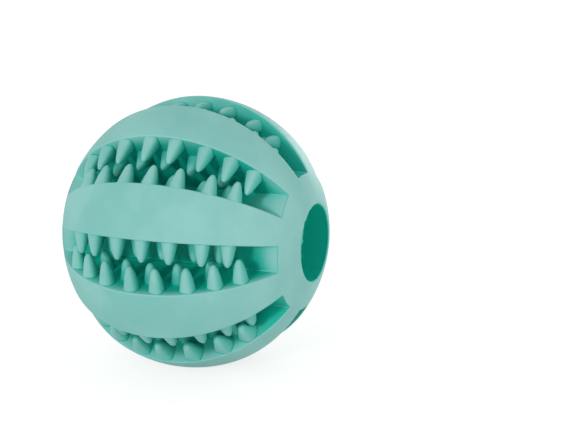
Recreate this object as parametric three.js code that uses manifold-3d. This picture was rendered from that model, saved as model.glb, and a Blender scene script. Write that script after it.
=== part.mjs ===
// Dental chew ball: a rubber ball on a hollow core, with meridian grooves whose walls carry soft teeth.
// Millimetres, +Z up. The bore runs along X and the origin is the ball's centre. One groove faces straight
// up and one straight down, so the ball rests on the two edges of the lower groove.
import * as THREE from 'three';
import { mergeVertices } from 'three/addons/utils/BufferGeometryUtils.js';
import loadManifold from 'manifold-3d';

// Driving dimensions, millimetres
const BALL_RADIUS = 32.5; // centre to the outside of a band, at the equator
const POLE_RADIUS = 31.8; // centre to where the rounded ends would close on the bore's axis
const BORE_RADIUS = 9.1;
const MOUTH_LAND = 0.8; // width of the flat ring round each bore mouth
const FLOOR_RADIUS = 16; // groove floor, the outside of the core tube
const CHANNEL_HEIGHT = 4.2; // from the groove floor up to the tooth strips
const SEAM = 0.3; // clearance between neighbouring pieces
const BLUNT_END = 0.5; // thickness at the tapered ends of a band or strip
const WEB_THICKNESS = 0.9; // web that carries the teeth, let into the groove wall
const TOOTH_RADIUS = 1.75; // at the root
const ROW_INSET = 2.2; // from the ball's surface to the arc on which the rows' latitudes are read
const ROW_SPACING = 4.3; // from the axes of the outer row down to those of the inner row
const TIP_SHORTFALL = 0.45; // from a tip on the equator to the middle of the groove

// From the ball's surface down to the flank of an outer tooth, millimetres, groove by groove from the top one
const TOOTH_COVERS = [1.25, 0.25, 0.45, 0.75, 0.65, 0.65, 0.65, 0.65];

// Strips whose outer teeth are a little longer than the rest, or stand off their row along the bore, millimetres
const STRIP_TRIMS = {
  '1b': { longer: 0.7 },
  '2a': { longer: -0.4 },
  '2b': { longer: -0.35 },
  '4a': { along: [-0.5, -0.8, -1.1, -1.5, -0.6, -0.3, 0] },
};

// Counts and angles, degrees
const BAND_PAIRS = 4; // the two bands of a pair carry staggered rows
const GROOVE_ANGLE = 22.2; // between the two walls of a groove
const ROW_SHIFT = 1.2; // all rows sit a little towards the +X end
const ODD_ROW = [-42.8, -31.4, -19.6, -6, 6, 19.6, 31.4, 42.8]; // latitudes on the first band of a pair
const EVEN_ROW = [-37.6, -26.3, -12.3, 0, 12.3, 26.3, 37.6]; // latitudes on the second band of a pair

// Tooth outline, from root to tip: stations along the length, and the power that rounds the flanks
const TOOTH_STATIONS = [0, 0.45, 0.8];
const TOOTH_FULLNESS = 0.5;

// Facets
const ARC_FACETS = 13; // along a band; odd, so that one facet lies flat on the equator
const RING_FACETS = 64; // round the bore
const COLLAR_FACETS = 5; // across an end collar's dome
const TOOTH_SIDES = 6;
const WELD_DISTANCE = 1e-4; // corners closer than this are one

// Derived sizes
const BAND_COUNT = 2 * BAND_PAIRS;
const GROOVE_HALF = THREE.MathUtils.degToRad(GROOVE_ANGLE) / 2;
const BAND_HALF = Math.PI / BAND_COUNT - GROOVE_HALF;
const COLLAR_START = profileX(FLOOR_RADIUS);
const MOUTH_X = profileX(BORE_RADIUS + MOUTH_LAND);
const WEB_BASE = FLOOR_RADIUS + CHANNEL_HEIGHT;
const ROW_REACH = POLE_RADIUS - ROW_INSET;

const bandRubber = rubber(0x83c0b8, 0.62);
const coreRubber = rubber(0x2a9a86, 0.7);
const toothRubber = rubber(0x8cc3bb, 0.6);

const wasm = await loadManifold();
wasm.setup();

function rubber(color, roughness) {
  return new THREE.MeshStandardMaterial({ color, roughness, metalness: 0, flatShading: true });
}

// Distance along the bore at which the ball's rounded profile has a given radius
function profileX(radius) {
  return POLE_RADIUS * Math.sqrt(1 - (radius / BALL_RADIUS) ** 2);
}

// Points of the ball's profile, as (x along the bore, radius), between two distances along the bore
function profileArc(fromX, toX, facets) {
  const start = Math.asin(fromX / POLE_RADIUS);
  const end = Math.asin(toX / POLE_RADIUS);
  return Array.from({ length: facets + 1 }, (_, i) => {
    const angle = THREE.MathUtils.lerp(start, end, i / facets);
    return new THREE.Vector2(POLE_RADIUS * Math.sin(angle), BALL_RADIUS * Math.cos(angle));
  });
}

// Closed outline under the ball's profile and above a straight base, with blunt ends
function segmentOutline(base) {
  const endX = profileX(base + BLUNT_END);
  const crown = profileArc(-endX, endX, ARC_FACETS);
  return [new THREE.Vector2(-endX, base), ...crown, new THREE.Vector2(endX, base)];
}

// Solid of revolution about the bore from a closed outline in (x, radius)
function revolve(outline) {
  const points = [...outline, outline[0]].map((p) => new THREE.Vector2(p.y, p.x));
  return new THREE.LatheGeometry(points, RING_FACETS).rotateZ(-Math.PI / 2);
}

function toSolid(geometry) {
  const bare = geometry.clone();
  bare.deleteAttribute('normal');
  bare.deleteAttribute('uv');
  const merged = mergeVertices(bare, WELD_DISTANCE);
  const corners = merged.index.array;
  const triVerts = [];
  for (let i = 0; i < corners.length; i += 3) {
    const [a, b, c] = [corners[i], corners[i + 1], corners[i + 2]];
    if (a !== b && b !== c && c !== a) triVerts.push(a, b, c);
  }
  const vertProperties = new Float32Array(merged.attributes.position.array);
  const mesh = new wasm.Mesh({ numProp: 3, vertProperties, triVerts: new Uint32Array(triVerts) });
  return new wasm.Manifold(mesh);
}

function toGeometry(solid) {
  const { vertProperties, triVerts } = solid.getMesh();
  const geometry = new THREE.BufferGeometry();
  geometry.setAttribute('position', new THREE.BufferAttribute(vertProperties, 3));
  geometry.setIndex(new THREE.BufferAttribute(triVerts, 1));
  geometry.computeVertexNormals();
  return geometry;
}

function piece(name, geometry, material) {
  const mesh = new THREE.Mesh(geometry, material);
  mesh.name = name;
  return mesh;
}

// A wall frame has x along the bore, y out along the wall and z square to it. Its z points out of a band
// on side 1 and into the band on side -1.
function wallTurn(side) {
  return Math.PI / 2 + side * BAND_HALF;
}

function coreTube() {
  return revolve([
    new THREE.Vector2(-COLLAR_START, BORE_RADIUS),
    new THREE.Vector2(-COLLAR_START, FLOOR_RADIUS),
    new THREE.Vector2(COLLAR_START, FLOOR_RADIUS),
    new THREE.Vector2(COLLAR_START, BORE_RADIUS),
  ]);
}

// Domed ring from the core's end face out to the flat land at the bore mouth
function endCollar() {
  return revolve([
    new THREE.Vector2(COLLAR_START, BORE_RADIUS),
    ...profileArc(COLLAR_START, MOUTH_X, COLLAR_FACETS),
    new THREE.Vector2(MOUTH_X, BORE_RADIUS),
  ]);
}

// Slice of the ball between two groove walls, centred on +Z, with a pocket in each wall for its strip
function band() {
  const ring = toSolid(revolve(segmentOutline(FLOOR_RADIUS + SEAM)));
  const reach = 2 * BALL_RADIUS;
  const slice = new THREE.Shape([
    new THREE.Vector2(0, 0),
    new THREE.Vector2(reach * Math.sin(BAND_HALF), reach * Math.cos(BAND_HALF)),
    new THREE.Vector2(-reach * Math.sin(BAND_HALF), reach * Math.cos(BAND_HALF)),
  ]);
  const wedge = new THREE.ExtrudeGeometry(slice, { depth: 2 * reach, bevelEnabled: false });
  wedge.translate(0, 0, -reach);
  wedge.rotateX(Math.PI / 2).rotateZ(Math.PI / 2);
  let solid = ring.intersect(toSolid(wedge));
  const pocketDepth = WEB_THICKNESS + SEAM;
  const pocketHalf = profileX(WEB_BASE + BLUNT_END) + SEAM;
  for (const side of [1, -1]) {
    const pocket = new THREE.BoxGeometry(2 * pocketHalf, reach, 2 * pocketDepth);
    pocket.translate(0, WEB_BASE - SEAM + reach / 2, 0);
    pocket.rotateX(wallTurn(side));
    solid = solid.subtract(toSolid(pocket));
  }
  return toGeometry(solid);
}

// One pointed tooth along +Y, with its root sunk into the web
function tooth(length) {
  const flank = TOOTH_STATIONS.map((s) => {
    const radius = TOOTH_RADIUS * (1 - s * s) ** TOOTH_FULLNESS;
    return new THREE.Vector2(radius, s * length);
  });
  const sunk = -WEB_THICKNESS / 2;
  const outline = [new THREE.Vector2(0, sunk), new THREE.Vector2(TOOTH_RADIUS, sunk), ...flank];
  return new THREE.LatheGeometry([...outline, new THREE.Vector2(0, length)], TOOTH_SIDES);
}

// Web and teeth of one groove wall, in the wall's frame. An inner tooth stands between two outer ones, and no
// tooth reaches below its web.
function toothStrip(side, cover, outerRow, innerRow, { longer = 0, along = [] }) {
  const shape = new THREE.Shape(segmentOutline(WEB_BASE));
  const web = new THREE.ExtrudeGeometry(shape, { depth: WEB_THICKNESS, bevelEnabled: false });
  web.translate(0, 0, side > 0 ? -WEB_THICKNESS : 0);
  let solid = toSolid(web);
  const outerDepth = cover + TOOTH_RADIUS;
  const rows = [
    { latitudes: outerRow, depth: outerDepth, longer, along },
    { latitudes: innerRow, depth: outerDepth + ROW_SPACING, longer: 0, along: [] },
  ];
  for (const row of rows) {
    const toMiddle = (BALL_RADIUS - row.depth) * Math.tan(GROOVE_HALF);
    const length = toMiddle - TIP_SHORTFALL + row.longer;
    row.latitudes.forEach((latitude, i) => {
      const x = ROW_REACH * Math.sin(THREE.MathUtils.degToRad(latitude + ROW_SHIFT)) + (row.along[i] ?? 0);
      const onRow = (BALL_RADIUS - row.depth) * Math.sqrt(1 - (x / (POLE_RADIUS - row.depth)) ** 2);
      const radius = Math.max(onRow, WEB_BASE + TOOTH_RADIUS);
      solid = solid.add(toSolid(tooth(length).rotateX(side * Math.PI / 2).translate(x, radius, 0)));
    });
  }
  return toGeometry(solid);
}

const ball = new THREE.Group();
ball.add(piece('core_tube', coreTube(), coreRubber));

const frontCollar = piece('end_collar_front', endCollar(), bandRubber);
const rearCollar = piece('end_collar_rear', endCollar(), bandRubber);
rearCollar.rotation.z = Math.PI;
ball.add(frontCollar, rearCollar);

// Bands and grooves follow each other round the bore, from +Z towards -Y, with groove 0 straight up.
// Strip a is on the side of the band before, strip b on the side of the band after.
for (let i = 0; i < BAND_COUNT; i += 1) {
  const [outerRow, otherRow] = i % 2 === 0 ? [ODD_ROW, EVEN_ROW] : [EVEN_ROW, ODD_ROW];
  const innerRow = otherRow.slice(1, -1);
  const stave = new THREE.Group();
  stave.rotation.x = (i + 0.5) * 2 * Math.PI / BAND_COUNT;
  stave.add(piece(`band_${i + 1}`, band(), bandRubber));
  for (const [letter, side, groove] of [['a', -1, i], ['b', 1, (i + 1) % BAND_COUNT]]) {
    const cover = TOOTH_COVERS[groove % TOOTH_COVERS.length];
    const label = `${i + 1}${letter}`;
    const geometry = toothStrip(side, cover, outerRow, innerRow, STRIP_TRIMS[label] ?? {});
    const strip = piece(`tooth_strip_${label}`, geometry, toothRubber);
    strip.rotation.x = wallTurn(side);
    stave.add(strip);
  }
  ball.add(stave);
}

export default ball;
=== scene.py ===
import math
from types import SimpleNamespace

import bpy
import numpy as np
from mathutils import Matrix, Vector


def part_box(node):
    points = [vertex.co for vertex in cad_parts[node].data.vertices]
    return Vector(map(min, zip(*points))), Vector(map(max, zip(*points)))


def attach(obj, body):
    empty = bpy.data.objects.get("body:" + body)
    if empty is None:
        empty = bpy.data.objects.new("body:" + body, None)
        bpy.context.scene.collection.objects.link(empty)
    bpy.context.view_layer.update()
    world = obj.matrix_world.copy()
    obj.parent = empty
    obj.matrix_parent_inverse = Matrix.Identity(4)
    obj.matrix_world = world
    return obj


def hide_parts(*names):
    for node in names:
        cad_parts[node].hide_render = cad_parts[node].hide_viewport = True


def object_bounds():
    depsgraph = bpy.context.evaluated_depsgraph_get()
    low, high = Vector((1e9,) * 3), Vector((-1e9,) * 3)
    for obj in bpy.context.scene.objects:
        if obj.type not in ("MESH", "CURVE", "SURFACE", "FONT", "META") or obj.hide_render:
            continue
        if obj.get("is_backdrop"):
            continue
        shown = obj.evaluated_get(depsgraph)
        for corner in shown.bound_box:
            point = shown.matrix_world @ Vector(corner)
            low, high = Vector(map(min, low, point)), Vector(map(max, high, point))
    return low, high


# Dental chew ball: the moulded body is one closed skin, the teeth are sixteen strips on the groove walls.
# The bore runs along X, a groove faces straight up, and angles round the bore run from +Z towards -Y.
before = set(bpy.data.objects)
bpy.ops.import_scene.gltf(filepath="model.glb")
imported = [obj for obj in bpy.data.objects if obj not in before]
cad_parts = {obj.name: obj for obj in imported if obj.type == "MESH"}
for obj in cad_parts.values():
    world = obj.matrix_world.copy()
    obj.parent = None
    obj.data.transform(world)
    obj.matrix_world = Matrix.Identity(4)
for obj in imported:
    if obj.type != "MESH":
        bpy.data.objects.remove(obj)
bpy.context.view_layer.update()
mm = 0.001
photoWidth, photoHeight = 567, 427
print("frame loaded with", len(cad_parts), "nodes")


def linear(red, green, blue):
    # sRGB from 0 to 255 as the linear colour that a shader socket takes
    c = np.array((red, green, blue)) / 255
    c = np.where(c > 0.04045, ((c + 0.055) / 1.055) ** 2.4, c / 12.92)
    return (*c.tolist(), 1.0)


def smooth(value, low, high):
    # 0 below low, 1 above high, with level ends in between
    t = np.clip((value - low) / (high - low), 0, 1)
    return t * t * (3 - 2 * t)


def direction(azimuth, elevation):
    # Unit vector from the ball's centre: degrees from -Y towards +X, and degrees above the level
    a, e = math.radians(azimuth), math.radians(elevation)
    return Vector((math.sin(a) * math.cos(e), -math.cos(a) * math.cos(e), math.sin(e)))


# Camera
cameraView = dict(
    azimuth=25.2, elevation=15.3, roll=-1.55,  # degrees, seen from the ball's centre
    distance=379 * mm,
    focal=1577,  # in pixels of the photo
    ballAt=(196.8, 231.4),  # pixel that shows the ball's centre
    sensor=36,  # millimetres
    clip=(0.01, 20),
)


def placeCamera(s):
    # The camera first looks straight at the ball, rolls, and then turns aside until the ball is off centre
    back = direction(s["azimuth"], s["elevation"])
    aside = math.atan((photoWidth / 2 - s["ballAt"][0]) / s["focal"])
    raised = math.atan((s["ballAt"][1] - photoHeight / 2) / s["focal"])
    turn = (-back).to_track_quat("-Z", "Y").to_matrix()
    turn = turn @ Matrix.Rotation(math.radians(s["roll"]), 3, "Z")
    turn = turn @ Matrix.Rotation(-aside, 3, "Y") @ Matrix.Rotation(raised, 3, "X")
    data = bpy.data.cameras.new("photoCamera")
    data.sensor_width = s["sensor"]
    data.lens = s["sensor"] * s["focal"] / photoWidth
    data.clip_start, data.clip_end = s["clip"]
    camera = bpy.data.objects.new("photoCamera", data)
    camera.matrix_world = Matrix.Translation(back * s["distance"]) @ turn.to_4x4()
    bpy.context.scene.collection.objects.link(camera)
    bpy.context.scene.camera = camera


placeCamera(cameraView)
print("camera placed")


# Shader sums
class Wire:
    # Wraps a socket so that a Python sum on it adds Math nodes
    def __init__(self, tree, socket=None):
        self.tree, self.socket = tree, socket

    def node(self, kind, inputs=None, output=0, **settings):
        # Any other node: its type, its sockets' values or links, the output wanted and its settings
        made = self.tree.nodes.new(kind)
        for key, value in settings.items():
            setattr(made, key, value)
        for key, value in (inputs or {}).items():
            if isinstance(value, Wire):
                self.tree.links.new(value.socket, made.inputs[key])
            else:
                made.inputs[key].default_value = value
        return Wire(self.tree, made.outputs[output]) if made.outputs else made

    def math(self, operation, first, second=0.0):
        return self.node("ShaderNodeMath", {0: first, 1: second}, operation=operation)

    def vector(self, operation, other=None, output=0):
        inputs = {0: self} if other is None else {0: self, 1: other}
        return self.node("ShaderNodeVectorMath", inputs, output, operation=operation)

    def dot(self, other):
        return self.vector("DOT_PRODUCT", other, "Value")

    def length(self):
        return self.vector("LENGTH", output="Value")

    def mix(self, low, high):
        # Colour that goes from low to high as this value goes from 0 to 1
        return self.node("ShaderNodeMix", {0: self, 6: low, 7: high}, 2, data_type="RGBA")

    def ease(self, stretch):
        # 0 before a pair of values, 1 after it, with level ends
        inputs = {"Value": self, "From Min": stretch[0], "From Max": stretch[1]}
        return self.node("ShaderNodeMapRange", inputs, interpolation_type="SMOOTHSTEP")

    def within(self, start, stop):
        # Eases in over one pair of values and out over another
        return self.ease(start) * (1 - self.ease(stop))

    def __add__(self, other):
        return self.math("ADD", self, other)

    def __sub__(self, other):
        return self.math("SUBTRACT", self, other)

    def __rsub__(self, other):
        return self.math("SUBTRACT", other, self)

    def __mul__(self, other):
        return self.math("MULTIPLY", self, other)

    __radd__, __rmul__ = __add__, __mul__


def newMaterial(name):
    material = bpy.data.materials.new(name)
    material.use_nodes = True
    material.node_tree.nodes.clear()
    return material, Wire(material.node_tree)


# Ball's own sizes, from the part
ball = dict(
    radius=32.5 * mm,  # centre to the outside of a band
    pole=31.8 * mm,  # centre to where the rounded ends would close on the bore's axis
    floor=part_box("core_tube")[1].z,  # groove floor
    mouth=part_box("end_collar_front")[1].x,  # end faces
    bore=9.1 * mm,
    grooves=8,
    grooveHalf=math.radians(11.1),
)
pitch = 2 * math.pi / ball["grooves"]


def profile(x):
    # Radius of the ball's outside at a distance along the bore: half an ellipse
    return ball["radius"] * np.sqrt(np.clip(1 - (x / ball["pole"]) ** 2, 0, 1))


# Rubber. A pair of numbers is where a change begins and where it is complete.
rubber = dict(
    # Colours: the lit colour shows where painted light falls, the saturated green where painted shade falls
    mint=linear(124, 191, 184),  # the outside's own pale mint, and the lit colour where painted light falls in the grooves
    pale=linear(146, 204, 198),  # paler patches at random, and painted light towards the front mouth
    bounceGlow=linear(112, 216, 205),  # painted bounce light: the lit colour brighter and greener where the open sky is cut
    rearLight=linear(150, 228, 219),  # painted light: the same brighter in the rear ends of the grooves
    edge=linear(140, 202, 195),  # painted highlight along the edges of the outside
    shadeGreen=linear(0, 178, 160),  # saturated green painted where shade falls
    deep=linear(0, 235, 208),  # painted bounce light: the same brighter on faces that look up where others crowd them
    shade=linear(0, 125, 106),  # painted shade: the same darker on walls that lean back
    shadeGreenFront=linear(0, 181, 162),  # the same past the last teeth at the front
    leanFront=linear(0, 208, 187),  # and there, brighter as painted bounce light, on walls that lean back
    # Saturated green painted inside the bore, where shade falls
    bore=linear(0, 184, 163),
    boreDeep=linear(0, 250, 232),  # painted light: the same brighter towards the middle of the bore
    # Millimetres along the bore
    front=(17, 24),  # the front colours come in, and the painted-light ledges of steep walls go
    rear=(-6, 16),  # painted light on the sides goes
    rearEnd=(-27, -20),  # the rear ends' painted light goes
    eavesEnd=(20, 24.5),  # painted light comes back on walls that lean over
    frontLightStretch=(0, 25),  # the painted light towards the front mouth grows
    boreEnds=(10, 30),  # the bore's painted middle light goes, towards either mouth
    # Millimetres below the ball's outside
    skin=(0.05, 0.4),  # the outside's own pale colour ends
    levelDepth=(0.5, 3),  # level walls lose their painted light
    ledgeDepth=(0.5, 3.5),  # painted-light ledges end
    downDepth=(0.8, 4),  # walls that look down lose their painted light
    floorDepth=(0.2, 0.6),  # level floors lose their painted light
    leanDepth=(1.6, 4.2),  # walls that lean back lose their painted light
    boreSkin=(0.05, 0.3),  # the bore's colour ends, in millimetres outside its radius
    # Ways that a face looks: cosines to straight up, apart from the first four
    floorFacing=(0.6, 0.9),  # straight out of the bore's axis: a wall becomes a floor
    frontFacing=(0.3, 1.0),  # to the front mouth
    edgeTurn=((0.2, 0.6), (0.8, 0.99)),  # square out of the ball, between a wall and the outside, where the edge highlight is painted
    levelFloor=(0.86, 0.96),  # up, times out of the axis
    level=(0.5, 1.0),  # up or down: a wall counts as level
    ledgeFacing=(0.25, 0.55),  # a wall gets a ledge of painted light
    ledgeLevel=(0.7, 0.95),  # it is so level that its ledge runs on to the front
    leanBack=((0.4, 0.65), (0.8, 0.95)),  # a wall leans back, and is level
    leanOver=((-0.8, -0.65), (-0.5, -0.25)),  # a wall leans over, and is upright
    flatFloor=(0.75, 1.0),  # a floor is too flat to be a tilted one
    lookDown=(-0.75, -0.3),  # a face stops looking down
    lookUp=(-0.3, 0.9),  # the deep painted colour comes in
    # Shares of open sky and, last, of a tooth's length
    reach=9 * mm, creaseReach=0.9 * mm,  # how near a surface has to be to count, and in a crease
    skySamples=12,
    openSky=(0.35, 0.9),  # the painted bounce glow gives way to the plain lit colour
    deepSky=(0.2, 0.6),  # the deep painted colour goes
    crease=(0.45, 0.8),  # a crease gets open enough for painted light
    tip=(0.3, 0.8),  # a tooth's tip begins
    # Texture
    cloud=dict(Scale=70.0, Detail=3.0),
    dust=dict(Scale=900.0, Detail=4.0),
    grain=dict(Scale=2600.0, Detail=2.0),
    cloudEdge=(0.38, 0.68),
    mottle=0.6, dustLeast=0.6, dustMore=0.8,  # strength of the patches, and how dust breaks them up
    frontLight=0.5,  # painted light: how much paler the lit colour grows towards the front mouth
    bump=dict(Strength=0.08, Distance=0.05 * mm),
    roughness=0.55, roughSpread=0.12,
    ior=1.35,
)
# Painted light and shade on the body: where the pale lit colour gives way to the saturated green
bodyPaintedShading = dict(
    airing=(0.05, 0.4),  # share of open sky with no painted light, and with all of it
    facing=(-0.1, 0.55),  # how far a face turns outwards with no painted light, and with all of it
    flankLight=0.9,  # share of painted light on faces that look sideways, at the rear
    flankFade=(1, 6),  # depths over which it goes
    fade=(1.2, 5.0),  # depths over which all painted light goes
    frontLoss=0.0,  # share of painted light lost on faces that look towards the front mouth
    downShade=0.9,  # share of painted light that falls only on faces that don't look down; painted shade on those that do
    levelLoss=0.8,  # share of painted light that the level walls lack
    floorLoss=1.0,  # share of painted light that a level floor lacks
    leanLoss=1.0,  # share of painted light that walls which lean back lack below their edges
    tilt=0.7,  # how much deeper the painted light reaches on floors that look up
    ledge=1.0,  # share of painted light that stays all along the edges of walls that lean back
    eaves=0.8,  # share that stays at the front ends of walls that lean over
    tipLight=0.0,  # share of painted light that a tip keeps where others crowd it
)
# The same painted light and shade on the teeth
toothPaintedShading = dict(
    airing=(0.05, 0.5),
    facing=(-0.15, 0.25),
    flankLight=0.9,
    flankFade=(4, 12),
    fade=(3, 6.5),
    frontLoss=0.6,
    downShade=0.2,
    levelLoss=0.0,
    floorLoss=0.0,
    leanLoss=0.0,
    tilt=0.0,
    ledge=0.0,
    eaves=0.0,
    tipLight=0.75,
    # Painted shade: on the teeth the deep colour is darker, at their crowded roots
    deep=linear(0, 165, 146),
    shade=linear(0, 165, 146),
)


def skyShare(wire, s, reach):
    # Share of directions in which nothing is nearer than the reach
    return wire.node("ShaderNodeAmbientOcclusion", {"Distance": reach}, "AO", samples=s["skySamples"])


def rubberPlace(wire, s):
    # Where a point of the rubber is and which way it faces. Depth is the ball's radius times one minus the
    # point's distance in a ball shrunk to 1, and facings are products of the normal with a direction.
    here = wire.node("ShaderNodeTexCoord", output="Object")
    normal = wire.node("ShaderNodeNewGeometry", output="Normal")
    shrink = (1 / ball["pole"], 1 / ball["radius"], 1 / ball["radius"])
    outward = here.vector("MULTIPLY", tuple(part ** 2 for part in shrink)).vector("NORMALIZE")
    radial = here.vector("MULTIPLY", (0, 1, 1)).vector("NORMALIZE")
    at = SimpleNamespace(here=here)
    at.below = (1 - here.vector("MULTIPLY", shrink).length()) * (ball["radius"] / mm)
    at.along = here.dot((1 / mm, 0, 0))
    at.aboveBore = here.vector("MULTIPLY", (0, 1 / mm, 1 / mm)).length() - ball["bore"] / mm
    at.upright = normal.dot(outward)
    at.floorward = normal.dot(radial)
    at.forward = normal.dot((1, 0, 0))
    at.up = normal.dot((0, 0, 1))
    at.onFloor = at.floorward.ease(s["floorFacing"])
    at.leanBack = at.up.within(*s["leanBack"]) * (1 - at.onFloor)
    at.leanOver = at.up.within(*s["leanOver"]) * (1 - at.onFloor)
    at.outside = 1 - at.below.ease(s["skin"])
    at.tip = wire.node("ShaderNodeAttribute", output="Fac", attribute_name="rise").ease(s["tip"])
    at.sky = skyShare(wire, s, s["reach"])
    at.crease = skyShare(wire, s, s["creaseReach"])
    return at


def paintedLightShare(wire, s, at):
    # Share of painted light, the rest showing painted shade: what the open sky and the turn of a face give,
    # times what depth, creases and each kind of wall and floor leave of it. The outside has all of it, and a
    # tooth's tip keeps its own at any depth.
    ledge = s["ledge"] * at.up.ease(s["ledgeFacing"]) * (1 - at.below.ease(s["ledgeDepth"]))
    ledge = ledge * (1 - at.along.ease(s["front"]) * (1 - at.up.ease(s["ledgeLevel"])))
    ledge = wire.math("MAXIMUM", ledge, s["eaves"] * at.leanOver * at.along.ease(s["eavesEnd"]))
    tilted = at.up * at.onFloor * (1 - at.up.ease(s["flatFloor"]))
    depth = at.below * (1 - s["tilt"] * tilted)
    level = wire.math("ABSOLUTE", at.up).ease(s["level"]) * at.below.ease(s["levelDepth"])
    flank = s["flankLight"] * (1 - s["levelLoss"] * level)
    flank = flank * (1 - at.along.ease(s["rear"]) * (1 - ledge)) * (1 - depth.ease(s["flankFade"]))
    turned = flank + (1 - flank) * at.upright.ease(s["facing"])
    downward = 1 - at.up.ease(s["lookDown"])
    downward = downward * wire.math("MAXIMUM", at.below.ease(s["downDepth"]), at.onFloor)
    levelFloor = (at.up * at.floorward).ease(s["levelFloor"]) * at.below.ease(s["floorDepth"])
    kept = (1 - s["frontLoss"] * at.forward.ease(s["frontFacing"])) * (1 - s["downShade"] * downward)
    kept = kept * (1 - s["floorLoss"] * levelFloor)
    kept = kept * (1 - s["leanLoss"] * at.leanBack * at.below.ease(s["leanDepth"]))
    kept = kept * at.crease.ease(s["crease"])
    sunk = depth.ease(s["fade"]) * (1 - at.tip)
    aired = wire.math("MAXIMUM", at.sky.ease(s["airing"]) * turned, s["tipLight"] * at.tip)
    return wire.math("MAXIMUM", aired * (1 - sunk) * kept, at.outside)


def mintRubber(name, paintedShading):
    # Goes from the saturated green of painted shade to the pale lit colour by the share of painted light,
    # then to painted highlights on the edges, and inside the bore to a green of its own with painted light
    # towards its middle
    s = rubber | paintedShading
    material, wire = newMaterial(name)
    at = rubberPlace(wire, s)
    scales = (s["cloud"], s["dust"], s["grain"])
    cloud, dust, grain = (wire.node("ShaderNodeTexNoise", {"Vector": at.here} | scale) for scale in scales)
    # Random mottle, plus painted light that grows towards the front mouth
    mottleAndFrontLight = cloud.ease(s["cloudEdge"]) * (s["dustLeast"] + s["dustMore"] * dust) * s["mottle"]
    mottleAndFrontLight = mottleAndFrontLight + s["frontLight"] * at.along.ease(s["frontLightStretch"])
    # Painted bounce light where the open sky is cut, and brighter painted light in the rear ends of the
    # grooves
    openAir = wire.math("MAXIMUM", at.sky.ease(s["openSky"]), at.outside)
    bounceGlow = at.along.ease(s["rearEnd"]).mix(s["rearLight"], s["bounceGlow"])
    litColour = openAir.mix(bounceGlow, mottleAndFrontLight.mix(s["mint"], s["pale"]))
    # The deep colour, painted bounce light on the body and painted shade on the teeth, on crowded faces that
    # look up; darker painted shade on walls that lean back
    deep = at.sky.ease(s["deepSky"]).mix(s["deep"], s["shadeGreen"])
    shadeGreen = at.leanBack.mix(at.up.ease(s["lookUp"]).mix(s["shadeGreen"], deep), s["shade"])
    shadeGreenFront = at.leanBack.mix(s["shadeGreenFront"], s["leanFront"])
    shadeGreen = at.along.ease(s["front"]).mix(shadeGreen, shadeGreenFront)
    # Painted highlight along the outside's edges, over the mix of painted shade and painted light
    edgeHighlight = at.outside * at.upright.within(*s["edgeTurn"])
    colour = edgeHighlight.mix(paintedLightShare(wire, s, at).mix(shadeGreen, litColour), s["edge"])
    # Painted light, brighter towards the middle of the bore
    bore = wire.math("ABSOLUTE", at.along).ease(s["boreEnds"]).mix(s["boreDeep"], s["bore"])
    shader = wire.node("ShaderNodeBsdfPrincipled", {
        "Base Color": at.aboveBore.ease(s["boreSkin"]).mix(bore, colour),
        "Roughness": s["roughness"] + s["roughSpread"] * (dust - 0.5),
        "Normal": wire.node("ShaderNodeBump", s["bump"] | {"Height": grain + cloud}),
        "IOR": s["ior"],
    })
    wire.node("ShaderNodeOutputMaterial", {"Surface": shader})
    return material


# Moulded body
body = dict(
    edgeRound=0.4 * mm, edgeMost=0.3,  # where a wall meets the outside, and the most it takes of the depth
    rootRound=0.35 * mm, rootMost=0.45,  # where it meets the floor
    lipRound=0.25 * mm,  # inner corner of the bore's mouth
    endRound=0.06 * mm,  # edge at the end of a groove floor
    shallow=0.5 * mm,  # depth at which a groove has its whole section
    flash=0.12 * mm,  # ragged rubber left round a mouth
    flashWaves=(7, 11, 18, 31), flashMean=0.75,  # waves round the mouth, and the level they swing about
    flashStart=0.42 * mm, flashWhole=0.22 * mm,  # where it comes in, behind the end face
    flashReach=0.3 * mm,  # how far from the bore it dies away
    tongue=0.9 * mm, tongueAt=math.radians(68), tongueSpread=math.radians(34),  # where more of it is left
    floorSteps=7, rootSteps=6, wallSteps=6, edgeSteps=5, bandSteps=9,
    # Rings along the bore, listed in millimetres
    grooveRings=44, grooveStop=1.6 * mm,  # over the grooves, and how far short of the floors' ends they stop
    endRings=(-1.2, -0.7, -0.4, -0.22, -0.12, -0.06, 0, 0.06, 0.12, 0.22, 0.4, 0.8),  # from a floor's end
    domeRings=5, domeStart=1.2 * mm, domeStop=0.05 * mm,  # from there to the end face
    landRings=(0.78, 0.62, 0.45),  # on the end face, outside the bore
    lipRings=6,
    behindRings=(0.34, 0.45, 0.7, 1.4),  # in the bore, behind the end face
    tubeRings=15,
)


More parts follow.
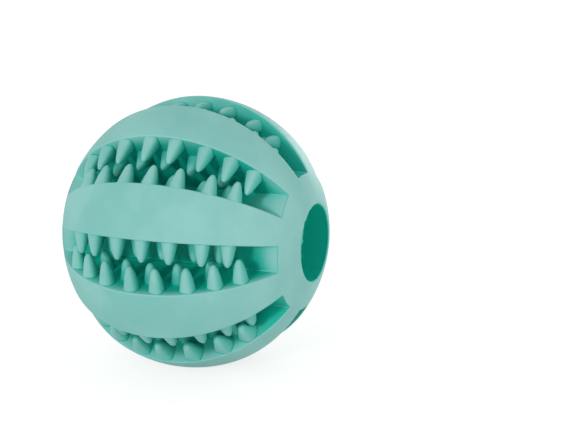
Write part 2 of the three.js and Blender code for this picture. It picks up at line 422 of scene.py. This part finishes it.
def bodyStations(s):
    # Distance along the bore, outside radius and floor radius of every ring, from the rear mouth over the
    # outside to the front mouth and back through the bore. Rings crowd where the groove floors run out.
    grooveEnd = ball["pole"] * math.sqrt(1 - (ball["floor"] / ball["radius"]) ** 2)
    crowd = grooveEnd + np.array(s["endRings"]) * mm
    latitude = np.linspace(0, math.asin((grooveEnd - s["grooveStop"]) / ball["pole"]), s["grooveRings"])
    dome = np.linspace(grooveEnd + s["domeStart"], ball["mouth"] - s["domeStop"], s["domeRings"])
    half = np.concatenate((ball["pole"] * np.sin(latitude), crowd, dome))
    outsideX = np.concatenate((-half[:0:-1], half))
    outside = profile(outsideX)
    step = outside - ball["floor"]
    # The floor follows the core's radius, and at the ends it eases into the outside
    eased = np.clip(step + s["endRound"], 0, None) ** 2 / (4 * s["endRound"])
    depth = np.where(step > s["endRound"], step, eased)
    corner = np.linspace(0, math.pi / 2, s["lipRings"])
    lipX = ball["mouth"] - s["lipRound"] * (1 - np.cos(corner))
    lip = ball["bore"] + s["lipRound"] * (1 - np.sin(corner))
    land = ball["bore"] + np.array(s["landRings"]) * mm
    landX = np.full(land.size, ball["mouth"])
    behindX = ball["mouth"] - np.array(s["behindRings"]) * mm
    behind = np.full(behindX.size, ball["bore"])
    tube = np.linspace(1, -1, s["tubeRings"] + 2)[1:-1] * behindX[-1]
    endX, end = np.concatenate((landX, lipX, behindX)), np.concatenate((land, lip, behind))
    x = np.concatenate((outsideX, endX, tube, -endX[::-1]))
    outer = np.concatenate((outside, end, np.full(tube.size, ball["bore"]), end[::-1]))
    depth = np.concatenate((depth, np.zeros(2 * end.size + tube.size)))
    return x, outer, outer - depth


def fillet(centre, angle, radius, start, stop, steps):
    # Radius and angle round the bore of an arc, whose centre is given likewise: the sum of both vectors
    turn = start + (stop - start) * np.linspace(0, 1, steps + 1)
    across = centre * np.sin(angle) + radius * np.sin(turn)
    out = centre * np.cos(angle) + radius * np.cos(turn)
    return np.hypot(across, out), np.arctan2(across, out)


def halfSection(outer, floor, s):
    # Radius and angle round the bore from the middle of a groove to the middle of a band: an arc of floor,
    # a fillet, a radial wall, another fillet and an arc of the outside. Fillets shrink with the wall.
    outer, floor = outer[:, None], floor[:, None]
    depth = outer - floor
    wall = ball["grooveHalf"]
    root = np.minimum(s["rootRound"], s["rootMost"] * depth)
    edge = np.minimum(s["edgeRound"], s["edgeMost"] * depth)
    rootAngle = wall - np.arcsin(root / (floor + root))
    edgeAngle = wall + np.arcsin(edge / (outer - edge))
    crowdEnd = np.sin(np.linspace(0, math.pi / 2, s["floorSteps"] + 1))[:-1]
    crowdStart = 1 - np.sin(np.linspace(math.pi / 2, 0, s["bandSteps"] + 1))[1:]
    floorArc = np.broadcast_to(floor, (len(floor), crowdEnd.size)), rootAngle * crowdEnd
    rootArc = fillet(floor + root, rootAngle, root, rootAngle + math.pi, wall + math.pi / 2, s["rootSteps"])
    edgeArc = fillet(outer - edge, edgeAngle, edge, wall - math.pi / 2, edgeAngle, s["edgeSteps"])
    rise = (1 - np.cos(np.linspace(0, math.pi, s["wallSteps"] + 1)[1:-1])) / 2
    wallRadius = rootArc[0][:, -1:] + (edgeArc[0][:, :1] - rootArc[0][:, -1:]) * rise
    wallLine = wallRadius, np.full_like(wallRadius, wall)
    bandAngle = edgeAngle + (pitch / 2 - edgeAngle) * crowdStart
    bandArc = np.broadcast_to(outer, bandAngle.shape), bandAngle
    lines = (floorArc, rootArc, wallLine, edgeArc, bandArc)
    radius, angle = (np.concatenate([line[i] for line in lines], axis=1) for i in (0, 1))
    # Where there is no groove, the columns spread evenly
    even = np.linspace(0, pitch / 2, angle.shape[1])
    grooved = smooth(depth, 0, s["shallow"])
    return outer + (radius - outer) * grooved, even + (angle - even) * grooved


def gridObject(name, points, material):
    # Closed skin from a grid of points that wraps round in both directions
    rows, columns = points.shape[:2]
    index = np.arange(rows * columns).reshape(rows, columns)
    ahead, aside = np.roll(index, -1, 0), np.roll(index, -1, 1)
    corners = np.stack((index, aside, np.roll(ahead, -1, 1), ahead), axis=-1).reshape(-1, 4)
    mesh = bpy.data.meshes.new(name)
    mesh.from_pydata(points.reshape(-1, 3).tolist(), [], corners.tolist())
    return finishObject(name, mesh, material)


def finishObject(name, mesh, material):
    mesh.shade_smooth()
    mesh.materials.append(material)
    made = bpy.data.objects.new(name, mesh)
    bpy.context.scene.collection.objects.link(made)
    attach(made, "root")
    return made


def flashSpread(x, radius, angle, s):
    # Flash is a thin skin left at the lip: a height with a broad bell at one place, times a sum of sines
    # round the mouth, times a bell in the distance from the bore, near the end faces only
    waves = s["flashWaves"]
    ragged = sum(np.sin(count * angle + count ** 2) / len(waves) for count in waves)
    tongue = s["tongue"] * np.exp(-((angle - s["tongueAt"]) / s["tongueSpread"]) ** 2)
    nearLip = smooth(np.abs(x), ball["mouth"] - s["flashStart"], ball["mouth"] - s["flashWhole"])
    nearLip = nearLip * np.exp(-((radius - ball["bore"]) / s["flashReach"]) ** 2)
    return (s["flash"] + tongue) * (s["flashMean"] + ragged) * nearLip


def mouldedBody(s, material):
    # Skin of revolution whose section changes along the bore from a ring to an eight-toothed gear and back
    x, outer, floor = bodyStations(s)
    radius, angle = halfSection(outer, floor, s)
    radius = np.concatenate((radius, radius[:, -2:0:-1]), axis=1)
    angle = np.concatenate((angle, pitch - angle[:, -2:0:-1]), axis=1)
    turns = pitch * np.arange(ball["grooves"])
    angle = (angle[:, None, :] + turns[:, None]).reshape(x.size, -1)
    radius = np.tile(radius, (1, ball["grooves"]))
    x = np.broadcast_to(x[:, None], radius.shape)
    radius = radius - flashSpread(x, radius, angle, s)
    points = np.stack((x, -radius * np.sin(angle), radius * np.cos(angle)), axis=-1)
    return gridObject("mouldedBody", points, material)


bodyRubber = mintRubber("bodyRubber", bodyPaintedShading)
bodySkin = mouldedBody(body, bodyRubber)
bands = [f"band_{i + 1}" for i in range(ball["grooves"])]
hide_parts("core_tube", "end_collar_front", "end_collar_rear", *bands)
print("moulded body made,", len(bodySkin.data.polygons), "faces")


# Teeth
teeth = dict(
    oddRow=(-42.8, -31.4, -19.6, -6, 6, 19.6, 31.4, 42.8),  # latitudes on the first band of a pair
    evenRow=(-37.6, -26.3, -12.3, 0, 12.3, 26.3, 37.6),
    rowShift=1.2,  # all rows sit a little towards the front end
    rowReach=29.6 * mm,  # the latitudes are read on a circle of this radius
    outerDepth=(3.0, 2.0, 2.2, 2.5, 2.4, 2.4, 2.4, 2.4),  # millimetres below the outside, groove by groove
    # Strips whose outer teeth are longer or shorter, or stand off their row along the bore, millimetres
    longer={"1a": -0.4, "1b": 0.7, "2a": -0.4, "2b": -0.35},
    offRow={"4a": (-0.5, -0.8, -1.1, -1.5, -0.6, -0.3, 0)},
    rowSpacing=4.3 * mm,  # from the outer row down to the inner
    innerLeast=21.95 * mm,  # no inner tooth stands nearer the bore, so a channel stays open on the floor
    tipShortfall=0.45 * mm,  # from a tip on the equator to the middle of its groove
    rootRadius=1.62 * mm,
    # Width against the root radius, power of the bullet, share of straight flank and squareness of the foot,
    # then what differs on the walls in view
    form=dict(girth=1.0, fullness=0.42, straight=0.25, square=1.4),
    ownForm={
        "1b": dict(straight=0.65, square=5),
        "2a": dict(straight=0.5, girth=1.05),
        "2b": dict(straight=0.3),
        "3a": dict(straight=0.15, girth=1.03),
        "4a": dict(girth=1.3, straight=0.7, square=3),
    },
    taper=0.5, tipPower=6,  # how much a straight flank narrows, and how late it rounds off
    squareFade=2,  # how fast the foot's squareness goes on the way up
    flare=0.2 * mm, flareReach=0.35 * mm,  # spread of the foot, and how far up it goes
    cover=0.15 * mm,  # least depth of a foot below the ball's outside
    sides=12,
    rings=(-0.08, 0.06, 0.48, 0.8, 0.96),  # shares of the length, from the foot sunk in the wall
)


def toothPlaces(s, label, groove, outerRow, otherRow):
    # Distance along the bore, radius and length of every tooth on one wall: the outer row, then the inner,
    # whose teeth stand between those of the outer row, abreast of the other band's. The radius is that of
    # the outside shrunk by the row's depth. The length is half the groove's width on the equator at that
    # depth, less a shortfall.
    outerDepth = s["outerDepth"][groove] * mm
    rows = ((outerRow, outerDepth), (otherRow[1:-1], outerDepth + s["rowSpacing"]))
    latitude = np.radians(np.concatenate([row for row, depth in rows]) + s["rowShift"])
    depth = np.concatenate([np.full(len(row), depth) for row, depth in rows])
    x = s["rowReach"] * np.sin(latitude)
    x[:len(outerRow)] += np.array(s["offRow"].get(label, 0)) * mm
    radius = (ball["radius"] - depth) * np.sqrt(1 - (x / (ball["pole"] - depth)) ** 2)
    radius = np.where(depth > outerDepth, np.maximum(radius, s["innerLeast"]), radius)
    length = (ball["radius"] - depth) * math.tan(ball["grooveHalf"]) - s["tipShortfall"]
    length[:len(outerRow)] += s["longer"].get(label, 0) * mm
    return x, radius, length


def toothRings(s, label, root, length, bore, out, along):
    # Rings of points round each tooth's axis, which stands square on the wall. The width goes from a bullet,
    # a power of one minus the height squared, part of the way to a straight taper that rounds off at the
    # tip, and it flares by a decaying exponential at the foot. The section is a superellipse that goes from
    # a rounded square at the foot to a circle at the tip.
    form = s["form"] | s["ownForm"].get(label, {})
    share = np.array(s["rings"])
    height = share[None, :] * length[:, None]
    t = np.clip(share, 0, 1)
    bullet = (1 - t ** 2) ** form["fullness"]
    straight = (1 - s["taper"] * t) * np.sqrt(1 - t ** s["tipPower"])
    width = s["rootRadius"] * form["girth"] * (bullet + form["straight"] * (straight - bullet))
    width = width + s["flare"] * np.exp(-np.clip(height, 0, None) / s["flareReach"])
    turn = 2 * math.pi * (np.arange(s["sides"]) + 0.5) / s["sides"]
    circle = np.cos(turn)[:, None] * bore + np.sin(turn)[:, None] * out
    power = 2 + form["square"] * (1 - t[:, None]) ** s["squareFade"]
    swell = (np.abs(np.cos(turn)) ** power + np.abs(np.sin(turn)) ** power) ** (-1 / power)
    rings = (root[:, None, None] + height[:, :, None, None] * along
             + (width[:, :, None] * swell)[..., None] * circle)
    # A foot that would stand out of the ball is pushed back under its outside
    level = np.linalg.norm(rings / (ball["pole"], ball["radius"], ball["radius"]), axis=-1)
    return rings * np.minimum(1, (1 - s["cover"] / ball["radius"]) / level)[..., None]


def toothStrip(label, s, band, side, rows, material):
    # All teeth of one wall as closed shells: quads from ring to ring, a fan at the tip and a cap on the foot
    groove = (band + max(side, 0)) % ball["grooves"]
    x, radius, length = toothPlaces(s, label, groove, *rows)
    wall = (band + 0.5) * pitch + side * (pitch / 2 - ball["grooveHalf"])
    out = np.array((0, -math.sin(wall), math.cos(wall)))
    along = side * np.array((0, -math.cos(wall), -math.sin(wall)))
    bore = np.array((1.0, 0, 0))
    root = x[:, None] * bore + radius[:, None] * out
    rings = toothRings(s, label, root, length, bore, out, along)
    tips = root + length[:, None] * along
    count, ringCount, sides = rings.shape[:3]
    index = np.arange(count * ringCount * sides).reshape(count, ringCount, sides)
    beside = np.roll(index, -1, 2)
    quads = np.stack((index[:, :-1], beside[:, :-1], beside[:, 1:], index[:, 1:]), axis=-1)
    quads = quads.reshape(-1, 4)
    tipIndex = np.broadcast_to(index.size + np.arange(count)[:, None], (count, sides))
    fans = np.stack((index[:, -1], beside[:, -1], tipIndex), axis=-1).reshape(-1, 3)
    feet = index[:, 0, ::-1]
    if side < 0:
        quads, fans, feet = quads[:, ::-1], fans[:, ::-1], feet[:, ::-1]
    name = f"toothStrip{label}"
    mesh = bpy.data.meshes.new(name)
    points = np.concatenate((rings.reshape(-1, 3), tips))
    mesh.from_pydata(points.tolist(), [], quads.tolist() + fans.tolist() + feet.tolist())
    # How far up a tooth each point is, from its foot to its tip, for the painted light at the tips
    rise = np.concatenate((np.tile(np.repeat(s["rings"], sides), count), np.ones(count)))
    mesh.attributes.new("rise", "FLOAT", "POINT").data.foreach_set("value", rise)
    return finishObject(name, mesh, material)


toothRubber = mintRubber("toothRubber", toothPaintedShading)
staggered = (teeth["oddRow"], teeth["evenRow"])
for i in range(ball["grooves"]):
    rows = staggered if i % 2 == 0 else staggered[::-1]
    for letter, side in (("a", -1), ("b", 1)):
        label = f"{i + 1}{letter}"
        strip = toothStrip(label, teeth, i, side, rows, toothRubber)
        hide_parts(f"tooth_strip_{label}")
print("tooth strips made")


# Stage
stage = dict(
    floorColour=(0.94, 0.94, 0.94, 1),
    floorGlow=0.79,  # what the camera sees of the floor besides its shading
    floorShade=(0.34, 0.34, 0.34, 1),
    floorReach=6.0,
    ambient=0.87,
    white=(1, 1, 1, 1),
)


def seenDirectly(wire):
    # 1 for rays that show the stage to the camera or in a reflection, 0 for those that only carry light
    rays = wire.node("ShaderNodeLightPath").socket.node.outputs
    kinds = ("Camera", "Glossy", "Transmission")
    camera, glossy, through = (Wire(wire.tree, rays[f"Is {kind} Ray"]) for kind in kinds)
    return wire.math("MINIMUM", camera + glossy + through, 1.0)


def buildFloor(s):
    # One square under the ball, which shows paler than it lights
    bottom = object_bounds()[0].z
    reach = s["floorReach"]
    mesh = bpy.data.meshes.new("floor")
    corners = [(reach * i, reach * j, bottom) for i, j in ((-1, -1), (1, -1), (1, 1), (-1, 1))]
    mesh.from_pydata(corners, [], [(0, 1, 2, 3)])
    material, wire = newMaterial("floorPaper")
    shading = wire.node("ShaderNodeBsdfDiffuse", {"Color": s["floorShade"]})
    glow = wire.node("ShaderNodeEmission", {"Strength": s["floorGlow"]})
    shown = wire.node("ShaderNodeAddShader", {0: shading, 1: glow})
    lit = wire.node("ShaderNodeBsdfDiffuse", {"Color": s["floorColour"]})
    surface = wire.node("ShaderNodeMixShader", {0: seenDirectly(wire), 1: lit, 2: shown})
    wire.node("ShaderNodeOutputMaterial", {"Surface": surface})
    mesh.materials.append(material)
    floor = bpy.data.objects.new("floor", mesh)
    bpy.context.scene.collection.objects.link(floor)
    floor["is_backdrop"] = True


def buildWorld(s):
    # White where it is seen, and a dim even light on the ball
    world = bpy.data.worlds.new("studio")
    world.use_nodes = True
    world.node_tree.nodes.clear()
    bpy.context.scene.world = world
    wire = Wire(world.node_tree)
    dim = wire.node("ShaderNodeBackground", {"Strength": s["ambient"]})
    white = wire.node("ShaderNodeBackground", {"Color": s["white"], "Strength": 1.0})
    sky = wire.node("ShaderNodeMixShader", {0: seenDirectly(wire), 1: dim, 2: white})
    wire.node("ShaderNodeOutputWorld", {"Surface": sky})


# Soft lamps: where each stands seen from the ball, in degrees and metres, its size and its power in watts
lamps = dict(
    key=dict(azimuth=-8, elevation=16, distance=1.0, size=0.14, power=2.8),
    fill=dict(azimuth=100, elevation=4, distance=1.0, size=0.3, power=1.0),
    rim=dict(azimuth=176, elevation=6, distance=0.9, size=0.25, power=1.4),
)


def softLamp(name, s):
    back = direction(s["azimuth"], s["elevation"])
    data = bpy.data.lights.new(name, "AREA")
    data.shape, data.size, data.energy = "DISK", s["size"], s["power"]
    lamp = bpy.data.objects.new(name, data)
    turn = back.to_track_quat("Z", "Y").to_matrix().to_4x4()
    lamp.matrix_world = Matrix.Translation(back * s["distance"]) @ turn
    bpy.context.scene.collection.objects.link(lamp)


buildFloor(stage)
buildWorld(stage)
for lampName, settings in lamps.items():
    softLamp(lampName, settings)
bpy.context.scene.view_settings.view_transform = "Standard"
print("stage and lamps set")
